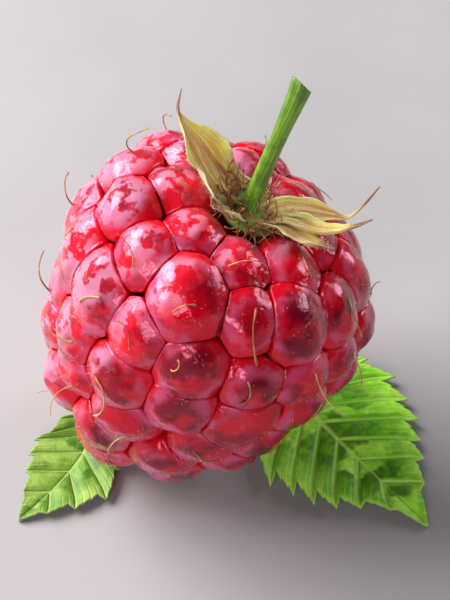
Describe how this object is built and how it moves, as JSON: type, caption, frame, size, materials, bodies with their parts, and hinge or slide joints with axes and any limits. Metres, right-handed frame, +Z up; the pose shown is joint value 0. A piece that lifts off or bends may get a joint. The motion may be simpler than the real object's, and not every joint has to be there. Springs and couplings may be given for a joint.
{
  "type": "raspberry",
  "caption": "Ripe raspberry standing on its tip on two toothed leaves, with its open calyx and a short stem left on.",
  "frame": {"origin": "the middle of the berry's flat spot on the surface it rests on, under its weight", "axes": "+Z up; +X towards the larger leaf, the way the berry leans; -Y towards the side with both leaf tips"},
  "size_m": [0.0312, 0.0229, 0.0348],
  "materials": {
    "berry": "glossy red skin with a soft pale bloom",
    "calyx": "matt, downy, drying olive and straw",
    "stem": "satin green with fine ribs",
    "leaf_left": "satin yellow-green, veined",
    "leaf_right": "satin dark green, veined"
  },
  "bodies": {
    "root": {"berry": "berry", "calyx": "calyx", "stem": "stem", "leaf_left": "leaf_left", "leaf_right": "leaf_right"}
  },
  "joints": []
}
